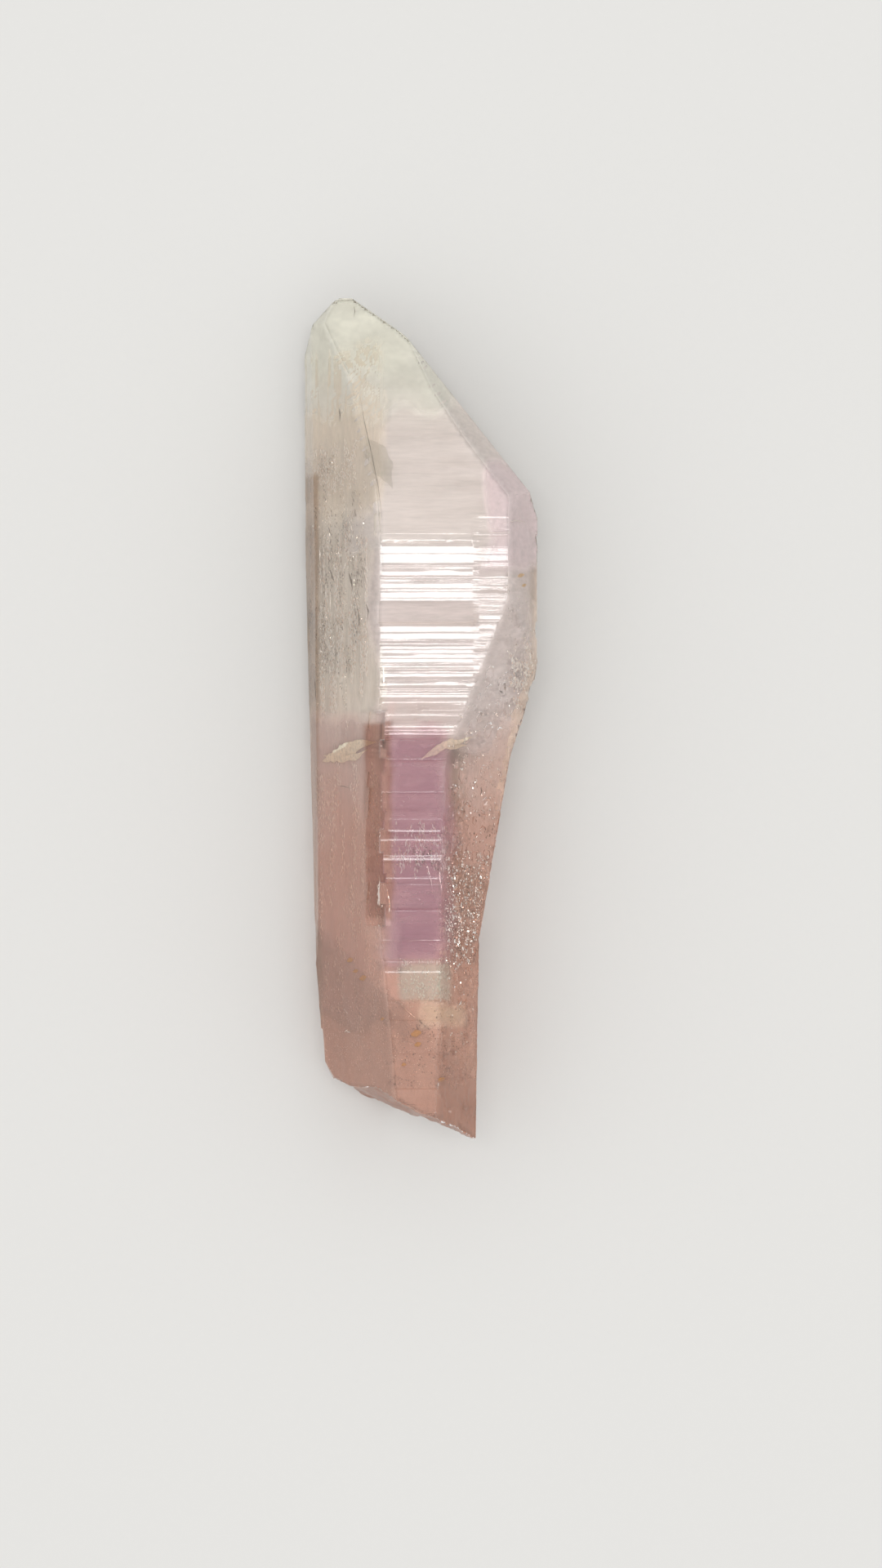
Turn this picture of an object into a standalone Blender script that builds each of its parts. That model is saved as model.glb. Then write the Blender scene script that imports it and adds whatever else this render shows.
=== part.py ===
"""Smoky lemurian quartz: one natural crystal with a striated "ladder" face, lying on its flat back.

The crystal is made the way a crystal is described: flat faces, each a cut through a rough block.
A face has an azimuth about the long axis (0 looks up, 90 right, -90 left, 180 down) and a lean
(above 0 it faces the tip, below 0 it faces the broken root).
Growth ledges, etch pits, edge chips and the broken root are then cut into those faces.
Frame: metres, +Z up, +Y towards the tip, origin under the middle of the crystal.
"""

import math
import random

import bmesh
import bpy
from mathutils import Euler, Matrix, Vector, noise

MM = 0.001

# Driving dimensions, in millimetres. Y = 0 is about half way along, X = 0 midway between the sides.
THICKNESS = 28.0
TIP_Y = 62.3
ROOT_Y = -63.2
HALF_WIDTH = 17.8
PRISM_ANGLE = 60.0        # between neighbouring prism faces of quartz
RHOMB_LEAN = 38.2         # lean of quartz's main end faces
LEFT_EDGE_X = -5.5        # upper left edge of the ladder face
LEFT_RIM_Z = 6.6          # height of the left side's outermost edge
RIGHT_RIM_Z = 18.0        # height of the right side's outermost edge
LADDER_TOP_Y = 26.5       # the ladder face bends back towards the tip above this
TIP_EDGE_Y = 48.2         # lower edge of the large end face

# Growth ledges across the ladder face: each groove's upper and lower edge and its depth.
LADDER_GROOVES = (
    (25.4, 25.0, 0.12), (20.3, 19.8, 0.15), (16.7, 13.0, 0.22), (10.8, 10.0, 0.20), (6.9, 6.4, 0.16),
    (5.2, 4.8, 0.14), (4.0, 3.5, 0.16), (2.5, -1.3, 0.28), (-3.2, -3.8, 0.15), (-6.6, -7.1, 0.16),
    (-11.4, -14.2, 0.16), (-17.3, -17.9, 0.18), (-21.6, -25.0, 0.2), (-28.4, -28.9, 0.16), (-33.2, -36.4, 0.25),
)
PANEL_GROOVES = (
    (26.4, 26.0, 0.15), (22.6, 21.4, 0.2), (18.2, 17.8, 0.15), (15.0, 13.4, 0.2), (9.6, 9.2, 0.15), (6.0, 4.6, 0.2),
)
WALL_SLOPE = 1.25         # run of a ledge's wall for each unit of its height
LADDER_START_X = -9.0     # the grooves run from here, outside the face's left edge
PANEL_EDGE_X = 8.3        # right of this the ladder face lies one growth layer lower
PANEL_DROP = 0.35
PANEL_TOP_Y = 31.8
PANEL_BOTTOM_Y = -16.0

# The sunken window between the ladder face and the left side.
WINDOW_X = (-8.4, -4.7)
WINDOW_Y = (-29.0, 0.4)
WINDOW_DEPTH = 1.5
WINDOW_STEP = (1.2, 3.4)  # length of one ragged step of its sides
WINDOW_RAG = (0.9, 0.5)   # how far its left and right sides wander
WINDOW_TILT = -22.0       # how far its floor turns towards the left side, in degrees
WINDOW_PIVOT = (-6.0, 0.0, THICKNESS - 1.4)

# The right flank, between the ladder face and its lower rim, as x at a given y.
FLANK_SPLIT_Y = -5.3      # its two flat parts meet here
UPPER_EDGE = (4.6, -5.65)
UPPER_EDGE_RUN = 0.369    # how far that edge moves out for each millimetre towards the tip
LOWER_EDGE_X = 4.0
LOWER_RIM = (12.3, -15.4)
LOWER_RIM_RUN = 0.157
LEAST_RIM_X = 8.9

# Etch pits on the right flank.
PIT_COUNT = 82
PIT_RADIUS = (0.5, 1.3)
PIT_SINK = 0.45           # share of a pit's radius that lies in the crystal
PIT_GAP = 0.25
PIT_Y = (-43.0, 6.0)      # where along the crystal pits lie
PIT_REACH = (1.4, 7.2)    # and how far from the ladder face's edge
PIT_TRIES = 4000

# The broken root.
BREAK_GRID = 22
BREAK_RELIEF = 1.1
BREAK_WAVE = 9.0
FINE_WAVE = 2.6
FINE_RELIEF = 0.35
BREAK_CENTRE = (-2.4, -58.2, THICKNESS / 2)
BREAK_OUTWARD = (-0.405, -0.911, 0.08)
BREAK_LINE = (20.7, -9.2, 0.0)   # runs along the break's edge, as seen from above
BREAK_HALF = 24.0         # half the cutter's side
BREAK_REACH = 30.0        # how far the cutter goes beyond the root
CORNER_START = 10.0       # left of this, from the middle of the break, its corner is rounded off
CORNER_ROUND = 0.2
CORNER_MOST = 6.0

NODE_NAME = "quartz_crystal"
SMOKY_QUARTZ = (0.62, 0.52, 0.43, 1.0)
SEED = 17


def face_normal(azimuth, lean):
    """Outward normal of a face, from its azimuth about the long axis and its lean towards the tip."""
    a, b = math.radians(azimuth), math.radians(lean)
    return Vector((math.sin(a) * math.cos(b), math.sin(b), math.cos(a) * math.cos(b)))


def front_profile():
    """(azimuth, lean, point) of the faces that carry the ladder face over to the tip in four bends."""
    bends = ((LADDER_TOP_Y, 8.0), (33.2, 16.0), (40.5, 24.0), (TIP_EDGE_Y, RHOMB_LEAN))
    faces, z = [(0.0, 0.0, (0, 0, THICKNESS))], THICKNESS
    for (y, lean), following in zip(bends, bends[1:] + (None,)):
        faces.append((0.0, lean, (0, y, z)))
        if following:
            z -= (following[0] - y) * math.tan(math.radians(lean))
    return faces, z


def flank_faces():
    """The etched flank at the right of the ladder face, in two flat parts."""
    return (50.0, -15.8, (14.9, 22.3, 28.0)), (50.0, -1.0, (4.0, -15.4, 28.0))


def under_faces():
    """The two flat parts under the flank: the crystal tapers, then keeps its width to the root."""
    return (180 - PRISM_ANGLE, -13.2, (12.3, -15.4, 18.1)), (180 - PRISM_ANGLE, -1.0, (8.9, -50.0, 21.2))


def crystal_faces():
    """Every flat face of the convex crystal: azimuth, lean and a point on it, in millimetres."""
    front, tip_edge_z = front_profile()
    tip_z = tip_edge_z - (TIP_Y - TIP_EDGE_Y) * math.tan(math.radians(RHOMB_LEAN))
    left_rim = (-HALF_WIDTH, 32.7, LEFT_RIM_Z)
    right_rim = (HALF_WIDTH, 20.0, RIGHT_RIM_Z)
    return front + [
        # the end
        (180.0, 41.0, (0, TIP_Y, tip_z)),
        (-PRISM_ANGLE, RHOMB_LEAN, (-12.75, 61.6, tip_z)),
        (PRISM_ANGLE - 180, RHOMB_LEAN, (-12.75, 61.6, tip_z)),
        (90.0, 59.0, (-9.4, TIP_Y, tip_z)),
        (PRISM_ANGLE, RHOMB_LEAN, (0.4, 54.1, 15.2)),
        (180 - PRISM_ANGLE, RHOMB_LEAN, (0.4, 54.1, 15.2)),
        (PRISM_ANGLE, 29.7, (13.2, 38.3, 20.6)),
        (180 - PRISM_ANGLE, 29.7, (13.2, 38.3, 20.6)),
        # the left side, with a narrow steep face along its outer edge
        (-PRISM_ANGLE, 0.0, (LEFT_EDGE_X, 0, THICKNESS)),
        (-76.0, -0.4, (-15.2, 10.0, 11.4)),
        (PRISM_ANGLE - 180, 0.0, left_rim),
        (PRISM_ANGLE - 180, -3.6, (-17.3, 18.0, LEFT_RIM_Z)),
        # the right side
        (65.0, 0.0, right_rim),
        (180 - PRISM_ANGLE, 0.0, right_rim),
        # the back, which the crystal lies on
        (180.0, 0.0, (0, 0, 0)),
        # the root's left side tapers a little
        (-PRISM_ANGLE, -4.5, (-15.2, -34.0, 10.5)),
        (-90.0, -6.0, (-15.6, -36.8, LEFT_RIM_Z)),
        # a small facet on the ladder face's upper left edge
        (-22.0, 17.0, (-5.6, 37.5, 25.83)),
    ]


def face_cut(bm, normal, point):
    """Cuts away all that lies outside a face, and closes the cut."""
    geometry = bm.verts[:] + bm.edges[:] + bm.faces[:]
    cut = bmesh.ops.bisect_plane(
        bm, geom=geometry, plane_co=point, plane_no=normal, clear_outer=True, dist=1e-7
    )
    rim = [e for e in cut["geom_cut"] if isinstance(e, bmesh.types.BMEdge)]
    if rim:
        bmesh.ops.edgeloop_fill(bm, edges=rim)


def block(low, high):
    """A box between two corners, in millimetres, as a bmesh."""
    bm = bmesh.new()
    low, high = Vector(low) * MM, Vector(high) * MM
    size = Matrix.Diagonal((*(high - low), 1.0))
    bmesh.ops.create_cube(bm, size=1.0, matrix=Matrix.Translation((low + high) / 2) @ size)
    return bm


def add_object(name, bm, collection):
    """Turns a bmesh into an object in a collection."""
    bmesh.ops.recalc_face_normals(bm, faces=bm.faces[:])
    mesh = bpy.data.meshes.new(name)
    bm.to_mesh(mesh)
    bm.free()
    made = bpy.data.objects.new(name, mesh)
    collection.objects.link(made)
    return made


def add_cutter(name, bm, collection):
    """A cutter: an object that shapes the crystal and isn't part of it."""
    cutter = add_object(name, bm, collection)
    cutter.hide_render = True
    cutter.display_type = "WIRE"
    return cutter


def boolean(target, tool, operation):
    """Applies one Boolean to the crystal as a modifier that stays on it."""
    modifier = target.modifiers.new(f"{operation.lower()} {tool.name}", "BOOLEAN")
    modifier.operation = operation
    modifier.solver = "EXACT"
    modifier.object = tool


def crystal_body(collection):
    """The crystal's flat faces, cut one after another from a block."""
    bm = block((-30, ROOT_Y - 4, -5), (30, TIP_Y + 5, THICKNESS + 5))
    for azimuth, lean, point in crystal_faces():
        face_cut(bm, face_normal(azimuth, lean), Vector(point) * MM)
    return add_object(NODE_NAME, bm, collection)


def wedge_cutter(name, faces, cutters):
    """What is missing at the crystal's right: all that is outside both of two faces."""
    bm = block((-25, ROOT_Y - 8, -2), (30, 45, THICKNESS + 12))
    for azimuth, lean, point in faces:
        face_cut(bm, -face_normal(azimuth, lean), Vector(point) * MM)
    return add_cutter(name, bm, cutters)


def bar(bm, low_x, high_x, outline):
    """A straight bar along X whose section is an outline of (y, z) points."""
    side = bm.faces.new([bm.verts.new((low_x * MM, y * MM, z * MM)) for y, z in outline])
    body = bmesh.ops.extrude_face_region(bm, geom=[side])
    moved = [v for v in body["geom"] if isinstance(v, bmesh.types.BMVert)]
    bmesh.ops.translate(bm, verts=moved, vec=((high_x - low_x) * MM, 0, 0))


def groove_outline(level, top_y, bottom_y, depth):
    """The floor and sloping walls of one groove below a level, from its upper to its lower edge."""
    run = depth * WALL_SLOPE
    return [(top_y, level), (top_y - run, level - depth), (bottom_y + run, level - depth), (bottom_y, level)]


def ladder_cutter(cutters):
    """The grooves between the growth ledges, one bar for each."""
    bm = bmesh.new()
    for top_y, bottom_y, depth in LADDER_GROOVES:
        floor = groove_outline(THICKNESS, top_y, bottom_y, depth)
        lid = [(bottom_y, THICKNESS + 1.0), (top_y, THICKNESS + 1.0)]
        bar(bm, LADDER_START_X, PANEL_EDGE_X + 0.4, floor + lid)
    return add_cutter("ladder grooves", bm, cutters)


def panel_cutter(cutters):
    """The growth layer that is missing right of the ladder, with grooves of its own in one bar."""
    level = THICKNESS - PANEL_DROP
    lid = THICKNESS + 6.0
    outline = [(PANEL_TOP_Y, lid), (PANEL_TOP_Y, level)]
    for groove in PANEL_GROOVES:
        outline += groove_outline(level, *groove)
    outline += [(PANEL_BOTTOM_Y, level), (PANEL_BOTTOM_Y, lid)]
    bm = bmesh.new()
    bar(bm, PANEL_EDGE_X, 22.0, outline)
    return add_cutter("lower layer", bm, cutters)


def window_cutter(cutters, rng):
    """The sunken window left of the ladder face, where a growth layer stops short in ragged steps."""
    right, left = [], []
    y = WINDOW_Y[1]
    while y > WINDOW_Y[0]:
        step = rng.uniform(*WINDOW_STEP)
        reach_right = WINDOW_X[1] + rng.uniform(-WINDOW_RAG[1], WINDOW_RAG[1])
        reach_left = WINDOW_X[0] + rng.uniform(-WINDOW_RAG[0], WINDOW_RAG[0])
        right += [(reach_right, y), (reach_right, y - step)]
        left += [(reach_left, y), (reach_left - 0.3, y - step)]
        y -= step
    floor_z = WINDOW_PIVOT[2] - WINDOW_DEPTH
    bm = bmesh.new()
    floor = bm.faces.new([bm.verts.new((px * MM, py * MM, floor_z * MM)) for px, py in right + left[::-1]])
    prism = bmesh.ops.extrude_face_region(bm, geom=[floor])
    moved = [v for v in prism["geom"] if isinstance(v, bmesh.types.BMVert)]
    bmesh.ops.translate(bm, verts=moved, vec=(0, 0, 8 * MM))
    pivot = Matrix.Translation(Vector(WINDOW_PIVOT) * MM)
    turn = Matrix.Rotation(math.radians(WINDOW_TILT), 4, "Y")
    bmesh.ops.transform(bm, matrix=pivot @ turn @ pivot.inverted(), verts=bm.verts[:])
    return add_cutter("edge window", bm, cutters)


def flank_point(x, y, azimuth, lean, point):
    """The point of a flank face above x, y."""
    n, p = face_normal(azimuth, lean), Vector(point)
    return Vector((x, y, p.z - (n.x * (x - p.x) + n.y * (y - p.y)) / n.z))


def flank_span(y):
    """The x of the flank's left edge and of its lower rim, at a place along the crystal."""
    upper = UPPER_EDGE[0] + (y - UPPER_EDGE[1]) * UPPER_EDGE_RUN
    rim = LOWER_RIM[0] + (y - LOWER_RIM[1]) * LOWER_RIM_RUN
    return (upper if y > FLANK_SPLIT_Y else LOWER_EDGE_X), max(rim, LEAST_RIM_X)


def pit_cutter(cutters, rng):
    """Etch pits on the right flank, as one cutter of separate flattened balls."""
    bm = bmesh.new()
    placed = []
    tries = 0
    upper_face, lower_face = flank_faces()
    normal = face_normal(*lower_face[:2])
    while len(placed) < PIT_COUNT and tries < PIT_TRIES:
        tries += 1
        y = rng.uniform(*PIT_Y)
        edge, rim = flank_span(y)
        x = edge + rng.uniform(*PIT_REACH)
        radius = rng.uniform(*PIT_RADIUS)
        centre = flank_point(x, y, *(upper_face if y > FLANK_SPLIT_Y else lower_face))
        near_rim = x > rim - radius * 0.6 - 0.4 or centre.z < RIGHT_RIM_Z + 1.8
        if near_rim or abs(y - FLANK_SPLIT_Y) < radius + 0.8:
            continue
        if any((centre - c).length < radius + r + PIT_GAP for c, r in placed):
            continue
        placed.append((centre, radius))
        ball = Matrix.Translation((centre + normal * radius * (0.5 - PIT_SINK)) * MM)
        turn = Euler([rng.uniform(0, math.tau) for _ in range(3)]).to_matrix().to_4x4()
        shape = Matrix.Diagonal((0.8, rng.uniform(0.8, 1.5), 0.8, 1.0))
        bmesh.ops.create_icosphere(
            bm, subdivisions=1, radius=radius * MM, matrix=ball @ shape @ turn
        )
    return add_cutter("etch pits", bm, cutters)


def chip_cutter(cutters):
    """Small conchoidal chips knocked off the edges: centre, radius, in millimetres."""
    chips = (
        ((8.3, 46.9, 22.4), 1.5),
        ((10.9, 43.4, 22.6), 1.0),
        ((13.2, 40.6, 23.2), 1.3),
        ((15.6, 36.4, 23.0), 1.1),
        ((17.9, 31.6, 20.6), 1.3),
        ((18.5, 26.0, 18.6), 1.2),
        ((18.7, 12.5, 18.4), 1.5),
        ((18.2, 3.0, 17.4), 1.9),
        ((-12.4, 62.6, 11.2), 1.1),
        ((-18.3, 53.5, 6.2), 1.2),
        ((-18.6, 14.0, 6.4), 1.1),
    )
    bm = bmesh.new()
    for centre, radius in chips:
        place = Matrix.Translation(Vector(centre) * MM)
        shape = Matrix.Diagonal((1.0, 1.35, 1.0, 1.0))
        bmesh.ops.create_icosphere(bm, subdivisions=2, radius=radius * MM, matrix=place @ shape)
    return add_cutter("edge chips", bm, cutters)


def break_height(u, v):
    """Relief of the broken root in millimetres: hollow shells with ridges between, and finer steps."""
    broad = noise.noise(Vector((u / BREAK_WAVE, v / BREAK_WAVE, 3.7)))
    fine = noise.noise(Vector((u / FINE_WAVE, v / FINE_WAVE, 9.1)))
    return BREAK_RELIEF * (abs(broad) * 1.6 - 0.5) + FINE_RELIEF * fine


def break_cutter(cutters):
    """The ragged break across the root: a slab whose inner side is an uneven grid."""
    outward = Vector(BREAK_OUTWARD).normalized()
    across = outward.cross(Vector(BREAK_LINE)).normalized()
    along = across.cross(outward)
    centre = Vector(BREAK_CENTRE)
    bm = bmesh.new()
    bmesh.ops.create_grid(bm, x_segments=BREAK_GRID, y_segments=BREAK_GRID, size=BREAK_HALF)
    for v in bm.verts:
        u, w = v.co.x, v.co.y
        corner = min(max(0.0, -CORNER_START - u) ** 2 * CORNER_ROUND, CORNER_MOST)
        v.co = (centre + along * u + across * w - outward * (break_height(u, w) + corner)) * MM
    lid = bmesh.ops.extrude_face_region(bm, geom=bm.faces[:])
    moved = [v for v in lid["geom"] if isinstance(v, bmesh.types.BMVert)]
    for v in moved:
        gap = BREAK_REACH - (v.co / MM - centre).dot(outward)
        v.co += outward * gap * MM
    return add_cutter("root break", bm, cutters)


def quartz_material():
    """Pale smoky quartz with the lustre of natural crystal faces."""
    material = bpy.data.materials.new("smoky quartz")
    material.use_nodes = True
    shader = material.node_tree.nodes["Principled BSDF"]
    shader.inputs["Base Color"].default_value = SMOKY_QUARTZ
    shader.inputs["Roughness"].default_value = 0.12
    shader.inputs["Metallic"].default_value = 0.0
    shader.inputs["IOR"].default_value = 1.544
    return material


def centre_on_origin(crystal):
    """Moves the crystal so that the middle of its underside is the origin."""
    graph = bpy.context.evaluated_depsgraph_get()
    shape = crystal.evaluated_get(graph).to_mesh()
    low = Vector(min(v.co[i] for v in shape.vertices) for i in range(3))
    high = Vector(max(v.co[i] for v in shape.vertices) for i in range(3))
    shift = -Vector(((low.x + high.x) / 2, (low.y + high.y) / 2, low.z))
    crystal.evaluated_get(graph).to_mesh_clear()
    for thing in [crystal] + [m.object for m in crystal.modifiers]:
        thing.data.transform(Matrix.Translation(shift))


def main():
    for leftover in list(bpy.data.objects):
        bpy.data.objects.remove(leftover)
    crystals = bpy.data.collections.new("smoky lemurian quartz")
    cutters = bpy.data.collections.new("cutters")
    for collection in (crystals, cutters):
        bpy.context.scene.collection.children.link(collection)
    rng = random.Random(SEED)

    crystal = crystal_body(crystals)
    crystal.data.materials.append(quartz_material())
    boolean(crystal, wedge_cutter("flank wedge", flank_faces(), cutters), "DIFFERENCE")
    boolean(crystal, wedge_cutter("under wedge", under_faces(), cutters), "DIFFERENCE")
    boolean(crystal, panel_cutter(cutters), "DIFFERENCE")
    boolean(crystal, ladder_cutter(cutters), "DIFFERENCE")
    boolean(crystal, window_cutter(cutters, rng), "DIFFERENCE")
    boolean(crystal, pit_cutter(cutters, rng), "DIFFERENCE")
    boolean(crystal, chip_cutter(cutters), "DIFFERENCE")
    boolean(crystal, break_cutter(cutters), "DIFFERENCE")
    bpy.context.view_layer.update()
    centre_on_origin(crystal)


main()
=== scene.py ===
"""Looks of a smoky lemurian quartz: a clear to hazy crystal with a striated ladder face.

The crystal's shape comes from the frame. This script gives its faces their fine growth relief,
fills it with the veils, wisps, stains and cracks seen in it, lays painted shade beside the ladder's left
edge, and sets the stage.
"""

import bisect
import math
import random
from collections import namedtuple

import bmesh
import bpy
from bpy.props import FloatProperty, FloatVectorProperty, IntProperty, PointerProperty
from mathutils import Matrix, Vector, noise


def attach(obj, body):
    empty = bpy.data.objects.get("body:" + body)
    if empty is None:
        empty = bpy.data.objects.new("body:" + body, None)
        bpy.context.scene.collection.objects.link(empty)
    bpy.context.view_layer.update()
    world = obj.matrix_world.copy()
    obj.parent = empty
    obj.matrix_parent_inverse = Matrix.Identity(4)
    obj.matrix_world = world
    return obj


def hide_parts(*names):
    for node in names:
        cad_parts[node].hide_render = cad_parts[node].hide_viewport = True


bl_info = {
    "name": "Smoky lemurian quartz",
    "version": (1, 0, 0),
    "blender": (4, 5, 0),
    "location": "3D View > Sidebar > Quartz",
    "description": "Grows the fine surface and the inside of a smoky lemurian quartz crystal",
    "category": "Object",
}

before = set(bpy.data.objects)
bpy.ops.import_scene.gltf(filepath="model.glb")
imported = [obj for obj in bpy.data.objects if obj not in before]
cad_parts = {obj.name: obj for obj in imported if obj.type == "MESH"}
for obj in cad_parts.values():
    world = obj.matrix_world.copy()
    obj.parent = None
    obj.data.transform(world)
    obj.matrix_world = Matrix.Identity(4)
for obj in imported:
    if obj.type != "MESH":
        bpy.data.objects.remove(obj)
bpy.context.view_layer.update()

NODE = "quartz_crystal"
BODY = "root"
MM = 0.001
QUARTZ_IOR = 1.544

# The photograph: its size, where the crystal's middle lies in it and its scale on the ladder face.
PHOTO_WIDTH, PHOTO_HEIGHT = 1080, 1920
PHOTO_CENTRE = (514.4, 878.5)   # the pixel at the frame's origin
PHOTO_SCALE = 8.24        # pixels to a millimetre
CAMERA_HEIGHT = 1.1       # metres above the floor
FACE_HEIGHT = 0.016       # the height, in metres, at which that scale holds

# The stage, in metres.
FLOOR_REACH = 3.0
FLOOR_GAP = 0.0001        # how far the floor lies under the crystal
KEY_PLACE = (0.0, 0.075, 1.2)
KEY_SIZE = (0.5, 0.17)


def linear(hex_code):
    """Linear RGB of an sRGB hex colour."""
    channels = [int(hex_code[i:i + 2], 16) / 255 for i in (0, 2, 4)]
    return tuple(c / 12.92 if c <= 0.04045 else ((c + 0.055) / 1.055) ** 2.4 for c in channels)


def at(px, py, z=0.0):
    """The point, in millimetres, that a pixel of the photograph shows."""
    return Vector(((px - PHOTO_CENTRE[0]) / PHOTO_SCALE, (PHOTO_CENTRE[1] - py) / PHOTO_SCALE, z))


def colour(name, hex_code, words):
    """A colour setting, given as sRGB hex."""
    return FloatVectorProperty(
        name=name, description=words, subtype="COLOR", size=3, min=0, max=1, default=linear(hex_code)
    )


def number(name, value, words, low=0.0, high=100.0):
    """A plain number setting."""
    return FloatProperty(name=name, description=words, default=value, min=low, max=high)


class QuartzBodySettings(bpy.types.PropertyGroup):
    cell: number("Grid", 0.46, "Spacing of the surface grid in millimetres", 0.2, 3.0)
    etched_cell: number("Etched grid", 0.25, "Grid spacing on the etched flank in millimetres", 0.15, 2.0)
    line_depth: number("Line depth", 1.0, "Depth of the growth lines, as a share of the usual", 0, 4)
    etch_depth: number("Etch depth", 0.4, "Depth of the etch figures in millimetres", 0, 2)
    swell: number("Swell", 0.02, "Height of the broad swells on the flat faces in millimetres", 0, 0.5)
    seed: IntProperty(name="Seed", description="Seed of the growth lines", default=5)
    tip: colour("Tip", "FBFAEF", "Tint of the cloudy tip")
    clear: colour("Clear", "FDF8F3", "Tint of the clear upper half")
    lilac: colour("Lilac", "DCC2CA", "Tint below the ladder")
    smoke: colour("Smoke", "E6BEAB", "Tint of the smoky root")
    window: colour("Window", "B58B78", "Tint of the sunken window beside the ladder")
    rim: colour("Rim", "C2A994", "Tint of the outer left edge")
    pale: colour("Pale", "E2E2D6", "Tint of the pale patch low on the ladder face")
    absorb: colour("Absorption", "D2B48F", "Colour that light takes on deep inside")
    density: number("Density", 5.0, "Absorption for each metre of depth", 0, 500)


class StageSettings(bpy.types.PropertyGroup):
    floor: colour("Floor", "E6E5E2", "Colour of the floor")
    sky: number("Sky", 0.92, "Strength of the light from all around", 0, 10)
    key: number("Key", 10.5, "Radiance of the lamp that the ladder face mirrors", 0, 100)


def make_node(tree, kind, links=(), values=(), **settings):
    """Adds one node with its settings, links (socket, source node, its socket) and values (socket, value)."""
    made = tree.nodes.new(kind)
    for name, value in settings.items():
        if hasattr(made, name):
            setattr(made, name, value)
        else:
            made.inputs[name.replace("_", " ")].default_value = value
    for socket, value in values:
        made.inputs[socket].default_value = value
    for socket, source, output in links:
        tree.links.new(source.outputs[output], made.inputs[socket])
    return made


def set_ramp(ramp, stops):
    """Sets a colour ramp's stops: (position, colour)."""
    elements = ramp.color_ramp.elements
    while len(elements) > 1:
        elements.remove(elements[-1])
    elements[0].position, elements[0].color = stops[0][0], (*stops[0][1][:3], 1)
    for position, rgb in stops[1:]:
        elements.new(position).color = (*rgb[:3], 1)


def new_material(name):
    """A new material, its node tree and its Principled shader."""
    material = bpy.data.materials.new(name)
    material.use_nodes = True
    return material, material.node_tree, material.node_tree.nodes["Principled BSDF"]


def add_object(name, data):
    """Links a new object into the scene."""
    made = bpy.data.objects.new(name, data)
    bpy.context.scene.collection.objects.link(made)
    return made


def finished_mesh(bm, name):
    """The mesh of a finished bmesh."""
    mesh = bpy.data.meshes.new(name)
    bm.to_mesh(mesh)
    bm.free()
    return mesh


# Growth lines of the ladder face: upper y, lower y, spacing, depth, all in millimetres, and the
# tilt of the treads between them in degrees, which settles whether they mirror the key light.
LINE_BANDS = (
    (47.5, 38.0, 1.5, 0.006, 0.0),
    (37.0, 27.6, 4.0, 0.004, 0.0),
    (27.1, 25.9, 9.0, 0.004, -4.0),
    (25.7, 22.6, 1.4, 0.014, 0.7),
    (22.4, 17.0, 0.55, 0.018, 0.9),
    (16.9, 13.6, 9.0, 0.006, -4.0),
    (13.4, 11.0, 0.7, 0.016, 0.9),
    (10.9, 2.9, 0.5, 0.020, 1.0),
    (2.6, -1.2, 0.9, 0.018, -2.5),
    (-1.6, -37.0, 0.8, 0.004, -4.0),
    (-37.5, -64.0, 3.0, 0.002, -3.0),
)
# The same for the strip beside the panel's edge, where the growth layers ended at other heights.
PANEL_BANDS = (
    (27.1, 25.1, 9.0, 0.004, -4.0),
    (24.9, 22.2, 0.7, 0.014, -1.2),
    (21.9, 20.6, 9.0, 0.006, -4.0),
    (20.4, 14.9, 0.6, 0.020, -1.25),
    (14.7, 12.9, 0.6, 0.016, 0.4),
    (12.7, 6.6, 0.5, 0.018, -0.7),
    (6.4, 0.8, 0.6, 0.018, -0.6),
    (0.6, -64.0, 1.2, 0.008, -2.8),
)
PANEL_EDGE = 8.2          # where that strip begins, in millimetres
NOTCH = 0.14              # width of the narrow notch at each growth line
STEP_TOP, STEP_FOOT, STEP_EDGE, STEP_TILT = 32.4, 27.1, 8.7, -3.0   # the small step at the panel's head


def growth_lines(bands, seed):
    """(y, depth, slope of the tread below, its length, key) of every growth line, from the tip down."""
    rng = random.Random(seed)
    lines = []
    for top, bottom, pitch, depth, tilt in bands:
        y = top
        while y > bottom:
            slope = math.tan(math.radians(tilt * rng.uniform(0.7, 1.3) + rng.uniform(-0.3, 0.3)))
            run = min(pitch * rng.uniform(0.4, 1.7), max(y - bottom, NOTCH * 2))
            lines.append((y, depth * rng.uniform(0.3, 1.7), slope, run, rng.uniform(0, 99)))
            y -= run
    return lines


class LadderRelief:
    """Notches across the ladder face with slightly tilted treads between, each fading along its length."""

    def __init__(self, lines, share):
        self.lines = lines
        self.share = share
        self.falling = [-line[0] for line in lines]

    def height(self, x, y):
        i = bisect.bisect_right(self.falling, -y + 1e-6) - 1
        step = math.tan(math.radians(-STEP_TILT)) * (y - STEP_TOP)
        ledge = step if x > STEP_EDGE and STEP_FOOT < y < STEP_TOP else 0.0
        if i < 0:
            return ledge
        top, depth, _, _, key = self.lines[i]
        if y >= top - NOTCH:
            part = (top - y) / NOTCH
            floor = -depth * self.strength(key, x) * self.share * min(part, 1 - part) * 2
            return ledge + floor + (1 - part) * self.tread(i - 1, top) + part * self.tread(i, top - NOTCH)
        return ledge + self.tread(i, y)

    def tread(self, i, y):
        if i < 0:
            return 0.0
        top, _, slope, run, _ = self.lines[i]
        part = min(top - y, run)
        return -slope * (run - part) if slope > 0 else slope * part

    def strength(self, key, x):
        return min(max(0.8 + 4.5 * noise.noise(Vector((x * 0.16, key, 0.0))), 0.0), 1.0)


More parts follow.
